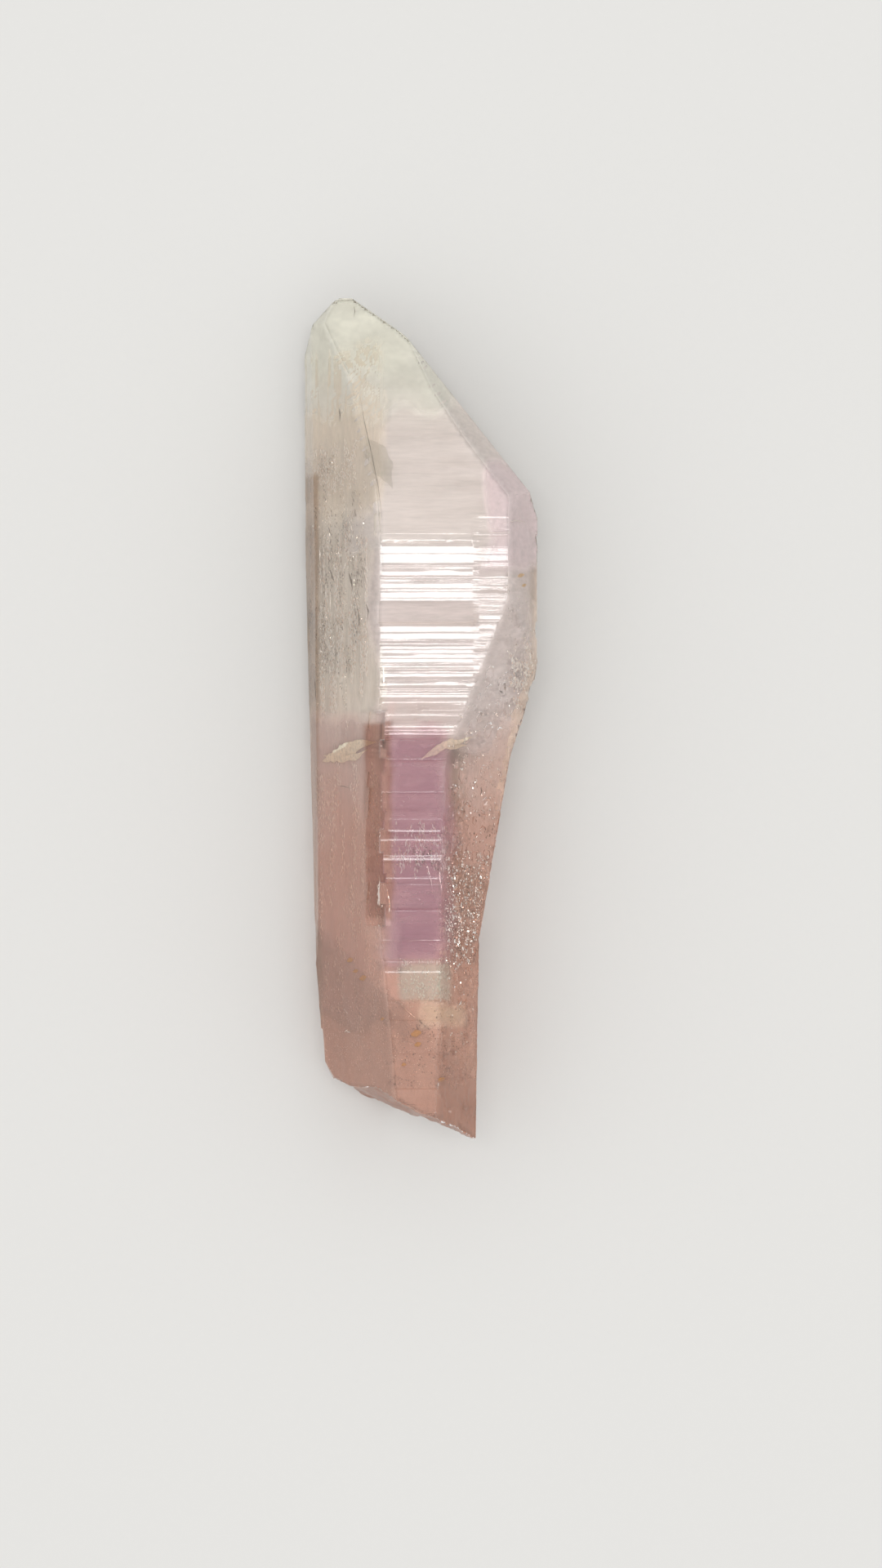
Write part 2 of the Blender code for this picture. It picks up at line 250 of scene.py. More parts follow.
def face_kind(normal, centre):
    """Which of the crystal's faces a small face belongs to."""
    azimuth = math.degrees(math.atan2(normal.x, normal.z))
    lean = math.degrees(math.asin(max(-1, min(1, normal.y))))
    if normal.z < -0.985:
        return "back"
    if lean < -38 and not (abs(azimuth) < 3 and centre.y > -40):
        return "break"
    if abs(azimuth) < 12 and -3 < lean < 30:
        return "ladder"
    if abs(azimuth) < 12 and lean >= 30 and centre.y > 44:
        return "end"
    if 44 < azimuth < 56 and -20 < lean < 6:
        return "flank"
    if -66 < azimuth < -54 and abs(lean) < 8:
        return "left"
    if lean > 20:
        return "end"
    return "side" if abs(azimuth) > 56 else "small"


def etch_height(p, depth):
    """Etch figures: steep pits in two sizes between rounded lumps."""
    q = Vector((p.x * 0.75 + p.y * 0.12, p.y * 0.5, p.z * 0.75))
    distances, points = noise.voronoi(q * 0.95)
    big = max(0.0, 1 - distances[0] / 0.5) * (0.3 + 0.7 * (noise.cell(points[0] * 7.3) * 0.5 + 0.5))
    fine, _ = noise.voronoi(q * 2.3 + Vector((7, 3, 1)))
    lumps = noise.noise(p * 0.55)
    worms = abs(noise.noise(Vector((q.x * 1.3, q.y * 0.9, q.z * 1.3)) + Vector((2, 9, 4))))
    steep = 1.1 * big + 0.45 * max(0.0, 1 - fine[0] / 0.55) + 1.1 * min(worms, 0.4)
    return -depth * (steep * (0.45 + 0.9 * max(lumps + 0.3, 0.0)) + 0.35 * (0.6 - lumps))


def break_height(p):
    """Conchoidal ripples and splinters of the broken root."""
    ridge = abs(noise.noise(p * 0.32)) + 0.5 * abs(noise.noise(p * 0.8))
    return -0.5 * ridge - 0.1 * abs(noise.noise(p * 2.2))


# Growth layers of the other faces: how finely they are scalloped, how little of the face they leave and
# their height in millimetres.
LEFT_LAYERS = ((0.055, 0.1, 0.05), (0.11, 0.25, 0.04))
SIDE_LAYER = (0.07, 0.15, 0.08)
END_LAYER = (0.09, 0.2, 0.004)


def terrace(p, scale, edge, height):
    """Flat growth layers with scalloped edges."""
    value = noise.noise(Vector((p.x * scale * 1.7, p.y * scale, p.z * scale * 1.7)) + Vector((4.2, 1.1, 8.3)))
    return height * min(max((value - edge) / 0.035, 0.0), 1.0)


def relief(kind, p, strips, look):
    """Height of the fine relief above a flat face, in millimetres, at a point in millimetres."""
    swell = look.swell * noise.noise(p * 0.16) + look.swell * 0.25 * noise.noise(p * 0.5)
    if kind == "back":
        return 0.0
    if kind == "ladder":
        return swell * 0.6 + strips[p.x > PANEL_EDGE].height(p.x, p.y)
    if kind == "flank":
        attacked = max(min((2.0 - p.y) / 20.0, 1.0), min((p.x - 12.0) / 2.0, 1.0), 0.3)
        return etch_height(p, look.etch_depth * attacked)
    if kind == "break":
        return break_height(p)
    if kind == "left":
        swell += 0.012 * noise.noise(Vector((p.x * 1.1, p.y * 0.05, p.z * 1.1)))
        return swell - terrace(p, *LEFT_LAYERS[0]) - terrace(p, *LEFT_LAYERS[1])
    if kind == "side":
        swell += 0.03 * noise.noise(Vector((p.x * 0.9, p.y * 0.04, p.z * 0.9)))
        return swell * 1.5 - terrace(p, *SIDE_LAYER) + 0.5 * etch_height(p * 0.8, 0.08)
    if kind == "end":
        return swell - terrace(p, *END_LAYER)
    return 0.0


NEAR = 2e-7               # a corner this near a cutting plane, in metres, counts as on it
WELD = 2e-6               # corners of the frame's triangles this near are one, in metres
FLAT = 0.4                # triangles that turn less than this, in degrees, are one face
CREASE = 7                # an edge that turns more than this, in degrees, stays sharp
SAME_FACE = 0.9994        # cosine between normals above which two small faces are parts of one
LEAST_FACE = 5e-6         # faces smaller than this, in square metres, get no grid
SLIVER = 1e-13            # a small face below this area, in square metres, has no say in a corner's move
BACK_PULL = 8.0           # how much more the resting face holds its corners than the others do
EASE = 0.06               # keeps nearly parallel faces from throwing their shared corner far off


def holds(face, point, u, v):
    """Whether a point in a flat face's plane lies within its outline."""
    x, y, odd = point.dot(u), point.dot(v), False
    spots = [(c.co.dot(u), c.co.dot(v)) for c in face.verts]
    for (ax, ay), (bx, by) in zip(spots, spots[1:] + spots[:1]):
        if (ay > y) != (by > y) and x < ax + (y - ay) * (bx - ax) / (by - ay):
            odd = not odd
    return odd


def split_face(face, normal, level):
    """Splits a flat face along a plane and returns its pieces."""
    corners = [(loop.vert, loop.edge, loop.vert.co.dot(normal) - level) for loop in face.loops]
    line = normal.cross(face.normal)
    on_plane = [vert for vert, _, offset in corners if abs(offset) <= NEAR]
    for (vert, edge, offset), (_, _, after) in zip(corners, corners[1:] + corners[:1]):
        if min(abs(offset), abs(after)) > NEAR and offset * after < 0:
            on_plane.append(bmesh.utils.edge_split(edge, vert, offset / (offset - after))[1])
    on_plane.sort(key=lambda vert: vert.co.dot(line))
    pieces = [face]
    for a, b in zip(on_plane, on_plane[1:]):
        joined = any(b in edge.verts for edge in a.link_edges)
        for piece in pieces:
            if joined or a not in piece.verts[:] or b not in piece.verts[:]:
                continue
            if len(on_plane) == 2 or holds(piece, (a.co + b.co) / 2, line, normal):
                pieces.append(bmesh.utils.face_split(piece, a, b)[0])
                break
    return pieces


def slice_faces(faces, normal, levels):
    """Cuts flat faces along parallel planes, each face first at its middle plane."""
    done, waiting = [], list(faces)
    while waiting:
        face = waiting.pop()
        reach = [v.co.dot(normal) for v in face.verts]
        first = bisect.bisect_right(levels, min(reach) + NEAR)
        last = bisect.bisect_left(levels, max(reach) - NEAR)
        pieces = split_face(face, normal, levels[(first + last) // 2]) if first < last else [face]
        if len(pieces) == 1:
            done.append(face)
        else:
            waiting.extend(pieces)
    return done


def even_levels(low, high, step):
    """Levels a step apart between two values, clear of both."""
    count = int((high - low) / step)
    return [low + (i + 0.5) * (high - low) / max(count, 1) for i in range(count)]


def slice_group(faces, cell, rows):
    """Cuts one flat face's pieces into a grid that follows the crystal's length."""
    normal = sum((f.normal * f.calc_area() for f in faces), Vector()).normalized()
    along = Vector((0, 1, 0))
    if abs(normal.y) > 0.9:
        along = Vector((0, 0, 1))
    across = along.cross(normal).normalized()
    upward = normal.cross(across).normalized()
    corners = [v.co for f in faces for v in f.verts]
    for direction, step in ((across, 2 * cell if rows else cell), (upward, cell)):
        values = [c.dot(direction) for c in corners]
        faces = slice_faces(faces, direction, even_levels(min(values), max(values), step * MM))
    slice_faces(faces, Vector((0, 1, 0)), rows)


def shift_of(pairs):
    """The move that takes a corner to where all its faces' reliefs put it."""
    if len(pairs) == 1:
        normal, height, _ = pairs[0]
        return normal * height
    system = Matrix(((0, 0, 0), (0, 0, 0), (0, 0, 0)))
    wanted = Vector((0, 0, 0))
    for normal, height, weight in pairs:
        for i in range(3):
            wanted[i] += weight * normal[i] * height
            for j in range(3):
                system[i][j] += weight * normal[i] * normal[j]
    for i in range(3):
        system[i][i] += EASE
    return system.inverted() @ wanted


def grow_surface(look):
    """The crystal's mesh: the frame's solid on a fine grid, with relief on every face."""
    bm = bmesh.new()
    bm.from_mesh(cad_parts[NODE].data)
    bmesh.ops.remove_doubles(bm, verts=bm.verts[:], dist=WELD)
    bmesh.ops.dissolve_limit(
        bm, angle_limit=math.radians(FLAT), verts=bm.verts[:], edges=bm.edges[:],
        use_dissolve_boundaries=False,
    )
    sets = [growth_lines(LINE_BANDS, look.seed), growth_lines(PANEL_BANDS, look.seed + 1)]
    rows = sorted({(line[0] - part * NOTCH) * MM for line in sets[0] + sets[1] for part in (0.0, 0.5, 1.0)})
    groups = {}
    for face in bm.faces:
        kind = face_kind(face.normal, face.calc_center_median() / MM)
        key = (kind, *(round(c, 1) for c in face.normal)) if kind != "break" else (kind,)
        groups.setdefault(key, []).append(face)
    cells = {
        "ladder": look.cell, "flank": look.etched_cell, "left": look.cell * 1.1, "end": look.cell,
        "side": look.cell * 1.5, "break": look.cell * 0.9, "back": look.cell * 8,
    }
    for key in sorted(groups):
        kind, faces = key[0], groups[key]
        if kind == "small" or sum(f.calc_area() for f in faces) < LEAST_FACE:
            continue
        slice_group(faces, cells[kind], rows if kind == "ladder" else [])

    strips = [LadderRelief(lines, look.line_depth) for lines in sets]
    etched = bm.verts.layers.float.new("etched")
    bm.faces.index_update()
    normals = [f.normal.copy() for f in bm.faces]
    solid = [f.calc_area() > SLIVER for f in bm.faces]
    moves = []
    for v in bm.verts:
        pairs, p, etch = [], v.co / MM, 0.0
        for f in v.link_faces:
            n = normals[f.index]
            if not solid[f.index] or any(n.dot(other) > SAME_FACE for other, _, _ in pairs):
                continue
            kind = face_kind(n, p)
            etch = max(etch, 1.0 if kind in ("flank", "break") else 0.0)
            pairs.append((n, relief(kind, p, strips, look), BACK_PULL if kind == "back" else 1.0))
        v[etched] = etch
        moves.append(shift_of(pairs) if pairs else Vector())
    for v, move in zip(bm.verts, moves):
        v.co += move * MM
        v.co.z = max(v.co.z, 0.0)
    bmesh.ops.triangulate(bm, faces=[f for f in bm.faces if len(f.verts) > 4])
    mesh = finished_mesh(bm, "crystal")
    mesh.shade_smooth()
    mesh.set_sharp_from_angle(angle=math.radians(CREASE))
    return mesh


def tint_patch(tree, parts, cloud, below, rgb, low, high, blur):
    """Lays a colour over a socket's, in a soft-edged, cloudy patch between two corners, in millimetres."""
    mask = None
    for axis in "XYZ":
        start, end = getattr(low, axis.lower()), getattr(high, axis.lower())
        middle, half, sway = (start + end) / 2, (end - start) / 2, 0.0 if axis == "Z" else 4.0 * blur
        shaken = make_node(
            tree, "ShaderNodeMath", [(0, cloud, 0), (2, parts, axis)], [(1, sway)], operation="MULTIPLY_ADD"
        )
        away = make_node(
            tree, "ShaderNodeMath", [(0, shaken, 0)], [(1, middle + sway / 2)], operation="SUBTRACT"
        )
        size = make_node(tree, "ShaderNodeMath", [(0, away, 0)], operation="ABSOLUTE")
        side = make_node(
            tree, "ShaderNodeMapRange", [("Value", size, 0)], interpolation_type="SMOOTHSTEP",
            From_Min=half + blur, From_Max=half - blur,
        )
        if mask:
            side = make_node(tree, "ShaderNodeMath", [(0, mask, 0), (1, side, 0)], operation="MULTIPLY")
        mask = side
    patch = make_node(tree, "ShaderNodeMix", [(0, mask, 0)], data_type="RGBA")
    patch.inputs[7].default_value = (*rgb, 1)
    tree.links.new(below, patch.inputs[6])
    return patch.outputs[2]


def quartz_material(look):
    """Smoky quartz with natural growth faces: glassy where flat, satin where etched, tinted by zones."""
    material, tree, _ = new_material("natural smoky quartz")
    tree.nodes.clear()
    place = make_node(tree, "ShaderNodeTexCoord")
    mm = make_node(tree, "ShaderNodeVectorMath", [(0, place, "Object")], operation="SCALE", Scale=1 / MM)
    parts = make_node(tree, "ShaderNodeSeparateXYZ", [(0, mm, 0)])
    cloud = make_node(tree, "ShaderNodeTexNoise", [("Vector", mm, 0)], Scale=0.09, Detail=4.0, Roughness=0.6)
    drift = make_node(
        tree, "ShaderNodeMath", [(0, cloud, 0)], [(1, 22.0), (2, -11.0)], operation="MULTIPLY_ADD"
    )
    height = make_node(tree, "ShaderNodeMath", [(0, parts, "Y"), (1, drift, 0)], operation="ADD")
    share = make_node(tree, "ShaderNodeMapRange", [("Value", height, 0)], From_Min=-63.0, From_Max=63.0)
    zones = make_node(tree, "ShaderNodeValToRGB", [(0, share, 0)])
    set_ramp(zones, (
        (0.0, look.smoke), (0.36, look.smoke), (0.53, look.clear), (0.82, look.clear), (0.93, look.tip),
    ))
    tinted = zones.outputs[0]
    for name, low, high, blur in (
        ("rim", at(350, 1340, -2.0), at(392, 580, 12.0), 0.6),
        ("lilac", at(464, 1176, 22.0), at(550, 900, 33.0), 2.2),
        ("window", at(447, 1126, 17.5), at(480, 885, 30.0), 0.5),
        ("pale", at(490, 1222, 22.0), at(552, 1176, 33.0), 0.6),
    ):
        tinted = tint_patch(tree, parts, cloud, tinted, getattr(look, name), low, high, blur)
    etched = make_node(tree, "ShaderNodeAttribute", attribute_name="etched")
    satin = make_node(tree, "ShaderNodeValToRGB", [(0, share, 0)])
    set_ramp(satin, tuple((spot, (value,) * 3) for spot, value in (
        (0.0, 0.16), (0.36, 0.13), (0.47, 0.04), (0.80, 0.05), (0.90, 0.16), (1.0, 0.20),
    )))
    rough = make_node(
        tree, "ShaderNodeMath", [(0, etched, "Fac"), (2, satin, 0)], [(1, 0.12)], operation="MULTIPLY_ADD"
    )
    grain = make_node(tree, "ShaderNodeTexNoise", [("Vector", mm, 0)], Scale=2.4, Detail=5.0, Roughness=0.65)
    bump = make_node(tree, "ShaderNodeBump", [("Height", grain, 0)], Strength=0.05, Distance=0.0002)
    shader = make_node(
        tree, "ShaderNodeBsdfPrincipled",
        [("Roughness", rough, 0), ("Normal", bump, 0)],
        IOR=QUARTZ_IOR, Transmission_Weight=0.94, Metallic=0.0,
    )
    tree.links.new(tinted, shader.inputs["Base Color"])
    deep = make_node(tree, "ShaderNodeVolumeAbsorption", Color=(*look.absorb, 1), Density=look.density)
    make_node(tree, "ShaderNodeOutputMaterial", [("Surface", shader, 0), ("Volume", deep, 0)])
    return material


def finish_piece(name, mesh, material):
    """Links a finished mesh into the scene and lets it ride on the crystal's body."""
    made = add_object(name, mesh)
    if not mesh.materials:
        mesh.materials.append(material)
    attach(made, BODY)
    return made


class QUARTZ_OT_grow_crystal(bpy.types.Operator):
    """Grow the crystal's fine surface over the frame's solid"""

    bl_idname = "quartz.grow_crystal"
    bl_label = "Grow crystal"

    def execute(self, context):
        look = context.scene.quartz_body
        crystal = finish_piece("crystal", grow_surface(look), quartz_material(look))
        # Clear quartz lets the light through to what lies inside and under it.
        crystal.visible_shadow = False
        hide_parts(NODE)
        return {"FINISHED"}


THINNEST = 0.8            # no veil, stain or line lies where the crystal is thinner than this, in millimetres
VEIL_GRID = 0.35          # spacing of a veil sheet's grid, in millimetres


def level_under(crystal, x, y, depth, thinnest=THINNEST):
    """A point some depth under the crystal's upper surface, in millimetres, or None beside it."""
    hit, top, normal, _ = crystal.ray_cast(Vector((x, y, 50.0)) * MM, Vector((0, 0, -1)))
    if not hit:
        return None
    low = crystal.ray_cast(Vector((x, y, -5.0)) * MM, Vector((0, 0, 1)))[1].z / MM
    top_z = top.z / MM
    if top_z - low < thinnest:
        return None
    return Vector((x, y, top_z - min(depth / max(normal.z, 0.25), 0.85 * (top_z - low))))


def open_grid(low, high, step):
    """A unit grid that stands for the area between two corners, in millimetres."""
    bm = bmesh.new()
    columns, rows = (max(int(gap / step), 2) for gap in (high.x - low.x, high.y - low.y))
    bmesh.ops.create_grid(bm, x_segments=columns, y_segments=rows, size=0.5)
    return bm


def grid_places(bm, low, high):
    """Each corner of such a grid, with the x and y that it stands for."""
    for v in bm.verts:
        yield v, low.x + (v.co.x + 0.5) * (high.x - low.x), low.y + (v.co.y + 0.5) * (high.y - low.y)


def veil_sheet(name, crystal, low, high, depth, streak, cover, seed):
    """A curved sheet inside the crystal, kept only where its noise is high: the plane of a healed crack."""
    bm = open_grid(low, high, VEIL_GRID)
    offset = Vector((seed * 3.1, seed * 1.7, 0))
    outside = []
    for v, x, y in grid_places(bm, low, high):
        sway = depth * 0.3 * noise.noise(Vector((x * 0.2, y * 0.06, seed)))
        spot = level_under(crystal, x, y, depth + sway)
        if spot:
            v.co = spot * MM
        else:
            outside.append(v)
    bmesh.ops.delete(bm, geom=outside, context="VERTS")
    thin = []
    for f in bm.faces:
        c = f.calc_center_median() / MM
        q = Vector((c.x * streak[0], c.y * streak[1], 0)) + offset
        side = min((c.y - low.y), (high.y - c.y)) / max((high.y - low.y) * 0.25, 0.1)
        if noise.noise(q) + 0.35 * noise.noise(q * 3.1) < 0.35 - 0.75 * cover + 0.35 * max(0.0, 1 - side):
            thin.append(f)
    bmesh.ops.delete(bm, geom=thin, context="FACES")
    return finished_mesh(bm, name)


FLAKE_SIZES = ("Density", "Smallest", "Largest", "Length", "Thickness", "Scatter", "Tumble")


def flake_tree():
    """Nodes that strew thin lens-shaped flakes over a sheet, stretched along the crystal's length."""
    tree = bpy.data.node_groups.new("inclusion flakes", "GeometryNodeTree")
    tree.interface.new_socket(name="Sheet", in_out="INPUT", socket_type="NodeSocketGeometry")
    for name in FLAKE_SIZES:
        tree.interface.new_socket(name=name, in_out="INPUT", socket_type="NodeSocketFloat")
    tree.interface.new_socket(name="Seed", in_out="INPUT", socket_type="NodeSocketInt")
    tree.interface.new_socket(name="Material", in_out="INPUT", socket_type="NodeSocketMaterial")
    tree.interface.new_socket(name="Flakes", in_out="OUTPUT", socket_type="NodeSocketGeometry")
    given = make_node(tree, "NodeGroupInput")
    points = make_node(
        tree, "GeometryNodeDistributePointsOnFaces",
        [("Mesh", given, "Sheet"), ("Density", given, "Density"), ("Seed", given, "Seed")],
    )
    low = make_node(tree, "ShaderNodeVectorMath", [(0, given, "Scatter")], operation="SCALE", Scale=-1.0)
    spread = make_node(
        tree, "FunctionNodeRandomValue", [(0, low, 0), (1, given, "Scatter"), ("Seed", given, "Seed")],
        data_type="FLOAT_VECTOR",
    )
    moved = make_node(
        tree, "GeometryNodeSetPosition", [("Geometry", points, "Points"), ("Offset", spread, 0)]
    )
    lens = make_node(tree, "GeometryNodeMeshUVSphere", Segments=4, Rings=2, Radius=1.0)
    form = make_node(tree, "ShaderNodeCombineXYZ", [("Y", given, "Length"), ("Z", given, "Thickness")], X=1.0)
    shaped = make_node(tree, "GeometryNodeTransform", [("Geometry", lens, "Mesh"), ("Scale", form, 0)])
    size = make_node(
        tree, "FunctionNodeRandomValue",
        [(2, given, "Smallest"), (3, given, "Largest"), ("Seed", given, "Seed")], data_type="FLOAT",
    )
    back = make_node(tree, "ShaderNodeMath", [(0, given, "Tumble")], [(1, -1.0)], operation="MULTIPLY")
    turn = make_node(
        tree, "FunctionNodeRandomValue", [(0, back, 0), (1, given, "Tumble"), ("Seed", given, "Seed")],
        data_type="FLOAT_VECTOR",
    )
    strewn = make_node(
        tree, "GeometryNodeInstanceOnPoints",
        [("Points", moved, 0), ("Instance", shaped, 0), ("Rotation", turn, 0), ("Scale", size, 1)],
    )
    shade = make_node(tree, "FunctionNodeRandomValue", [("Seed", given, "Seed")], data_type="FLOAT")
    marked = make_node(
        tree, "GeometryNodeStoreNamedAttribute", [("Geometry", strewn, 0), ("Value", shade, 1)],
        data_type="FLOAT", domain="INSTANCE", Name="tint",
    )
    real = make_node(tree, "GeometryNodeRealizeInstances", [("Geometry", marked, 0)])
    painted = make_node(
        tree, "GeometryNodeSetMaterial", [("Geometry", real, 0), ("Material", given, "Material")]
    )
    make_node(tree, "NodeGroupOutput", [(0, painted, 0)])
    return tree


def strew_flakes(name, sheet, values):
    """Runs the flake nodes on a sheet and returns the flakes as a plain mesh."""
    tree = bpy.data.node_groups.get("inclusion flakes") or flake_tree()
    holder = add_object(name, sheet)
    modifier = holder.modifiers.new("flakes", "NODES")
    modifier.node_group = tree
    for item in tree.interface.items_tree:
        if item.in_out == "INPUT" and item.name in values:
            modifier[item.identifier] = values[item.name]
    bpy.context.view_layer.update()
    graph = bpy.context.evaluated_depsgraph_get()
    mesh = bpy.data.meshes.new_from_object(holder.evaluated_get(graph))
    bpy.data.objects.remove(holder)
    mesh.name = name
    return mesh


def inclusion_material(name, shades, alpha, roughness, metallic):
    """Tiny flakes sealed in quartz, each a shade of its own from the ramp, half see-through."""
    material, tree, shader = new_material(name)
    tint = make_node(tree, "ShaderNodeAttribute", attribute_name="tint")
    ramp = make_node(tree, "ShaderNodeValToRGB", [(0, tint, "Fac")])
    set_ramp(ramp, shades)
    tree.links.new(ramp.outputs[0], shader.inputs["Base Color"])
    shader.inputs["Alpha"].default_value = alpha
    shader.inputs["Roughness"].default_value = roughness
    shader.inputs["Metallic"].default_value = metallic
    return material


class VeilSettings(bpy.types.PropertyGroup):
    density: number("Density", 1.0, "Flakes in the veils, as a share of the usual number", 0, 5)
    white: colour("White", "FBF4EC", "Colour of the milky veils")
    peach: colour("Peach", "F0CDB4", "Colour of the veils' warmer flakes")
    grey: colour("Grey", "9C8272", "Colour of the veils' shadowed flakes")


# Each veil: name, finish, its corners in the photograph, depth in millimetres, how it is streaked across
# and along, how much of it is filled, flakes for each square millimetre, their half width and length.
VEILS = (
    ("upper_left", "milky", (378, 606), (444, 540), 0.4, (1.1, 0.22), 0.6, 16.0, 0.075, 2.5),
    ("main_left", "milky", (378, 872), (452, 640), 0.3, (1.3, 0.12), 0.5, 14.0, 0.10, 3.0),
    ("block_left", "milky", (374, 582), (410, 555), 0.4, (0.7, 0.3), 0.85, 18.0, 0.09, 1.6),
    ("deep_left", "milky", (384, 860), (462, 600), 5.5, (0.8, 0.07), 0.5, 6.0, 0.12, 4.0),
    ("shade_left", "shadowed", (380, 860), (450, 560), 0.4, (1.3, 0.16), 0.18, 5.0, 0.10, 2.5),
    ("sparks_left", "mirror", (378, 872), (450, 556), 0.2, (1.4, 0.2), 0.42, 7.0, 0.09, 2.6),
    ("edge_left", "mirror", (388, 880), (402, 560), 0.2, (1.5, 0.10), 0.55, 7.0, 0.07, 2.0),
    ("tip_cloud", "milky", (388, 490), (540, 376), 3.0, (0.35, 0.3), 0.7, 4.0, 0.10, 1.5),
    ("ladder_deep", "milky", (480, 860), (600, 560), 5.0, (0.3, 0.16), 0.35, 1.6, 0.10, 1.5),
    ("core_streaks", "milky", (482, 1075), (545, 1005), 1.0, (1.6, 0.12), 0.6, 8.0, 0.08, 4.0),
    ("core_shade", "shadowed", (505, 1065), (548, 1032), 0.8, (0.9, 0.5), 0.6, 7.0, 0.10, 1.2),
    ("green_patch", "milky", (486, 1232), (548, 1172), 1.0, (0.8, 0.5), 0.75, 9.0, 0.09, 1.8),
    ("root_haze", "milky", (412, 1330), (580, 1150), 1.6, (0.5, 0.25), 0.45, 3.0, 0.07, 1.5),
    ("root_haze_left", "milky", (392, 1290), (470, 980), 0.9, (0.7, 0.1), 0.4, 4.0, 0.06, 4.0),
    ("root_shade", "shadowed", (490, 1335), (575, 1235), 0.6, (0.8, 0.6), 0.3, 4.0, 0.07, 1.3),
    ("low_sparks", "mirror", (392, 1180), (470, 900), 0.3, (0.7, 0.1), 0.25, 1.5, 0.05, 2.5),
    ("front_sparks", "mirror", (470, 1180), (556, 880), 0.2, (0.5, 0.5), 0.3, 1.2, 0.06, 2.0),
    ("flank_glints", "mirror", (548, 1290), (650, 860), 0.05, (1.2, 0.7), 0.4, 3.0, 0.10, 1.8),
    ("flank_shade", "shadowed", (548, 1240), (630, 940), 0.1, (0.9, 0.5), 0.25, 2.0, 0.10, 2.2),
    ("flank_sparks", "mirror", (545, 1185), (602, 1040), 0.05, (1.2, 0.9), 0.8, 8.0, 0.12, 1.4),
    ("flank_dark", "shadowed", (552, 1190), (598, 1060), 0.15, (0.9, 0.7), 0.25, 4.0, 0.12, 1.3),
    ("shoulder_lumps", "mirror", (618, 880), (662, 700), 0.1, (0.9, 0.5), 0.3, 3.0, 0.09, 1.8),
    ("shoulder_curls", "milky", (622, 876), (661, 792), 0.15, (0.9, 0.5), 0.6, 10.0, 0.11, 2.2),
    ("root_specks", "mirror", (408, 1330), (575, 1205), 0.1, (0.7, 0.7), 0.35, 3.0, 0.07, 1.0),
    ("root_motes", "milky", (400, 1335), (580, 1190), 0.4, (0.9, 0.9), 0.5, 5.0, 0.06, 1.1),
    ("root_dark", "shadowed", (470, 1338), (585, 1225), 0.3, (0.8, 0.4), 0.35, 4.0, 0.07, 1.6),
    ("low_streaks", "milky", (388, 1160), (466, 880), 0.5, (1.2, 0.08), 0.35, 5.0, 0.07, 4.0),
)


class QUARTZ_OT_grow_veils(bpy.types.Operator):
    """Fill the healed cracks under the faces with milky, shadowed and mirror-like flakes"""

    bl_idname = "quartz.grow_veils"
    bl_label = "Grow veils"

    def execute(self, context):
        look = context.scene.quartz_veils
        crystal = bpy.data.objects["crystal"]
        milk = ((0.0, look.peach), (0.3, look.peach), (0.5, look.white), (1.0, look.white))
        shade = ((0.0, look.grey), (1.0, tuple(c * 0.6 for c in look.grey)))
        silver = ((0.0, look.white), (1.0, look.white))
        finishes = {
            "milky": inclusion_material("milky fluid films", milk, 0.85, 0.4, 0.0),
            "shadowed": inclusion_material("shadowed fluid films", shade, 0.6, 0.6, 0.0),
            "mirror": inclusion_material("silvery fluid films", silver, 0.85, 0.12, 1.0),
        }
        for i, veil in enumerate(VEILS):
            name, finish, low, high, depth, streak, cover, count, size, length = veil
            sheet = veil_sheet(name, crystal, at(*low), at(*high), depth, streak, cover, i + 2)
            flakes = strew_flakes(name, sheet, {
                "Density": count * look.density / MM ** 2, "Smallest": size * 0.4 * MM,
                "Largest": size * 1.5 * MM, "Length": length, "Thickness": 0.3,
                "Scatter": min(depth * 0.2, 0.4) * MM,
                "Tumble": 0.5, "Seed": i, "Material": finishes[finish],
            })
            if not flakes.vertices:
                raise RuntimeError(f"veil {name} is empty")
            finish_piece("veil_" + name, flakes, finishes[finish])
        return {"FINISHED"}


HAZE_GRID = 0.4           # spacing of a haze film's grid, in millimetres
HAZE_FILM = 0.05          # its thickness
HAZE_THINNEST = 0.3       # how thin the crystal may be where a haze still lies
HAZE_RAG = (0.4, 0.8)     # how far a haze's rim is drawn in everywhere, and how far it wanders
Haze = namedtuple(
    "Haze", "name low high depth border opacity colour fineness slant ceiling", defaults=(0.0, 99.0)
)
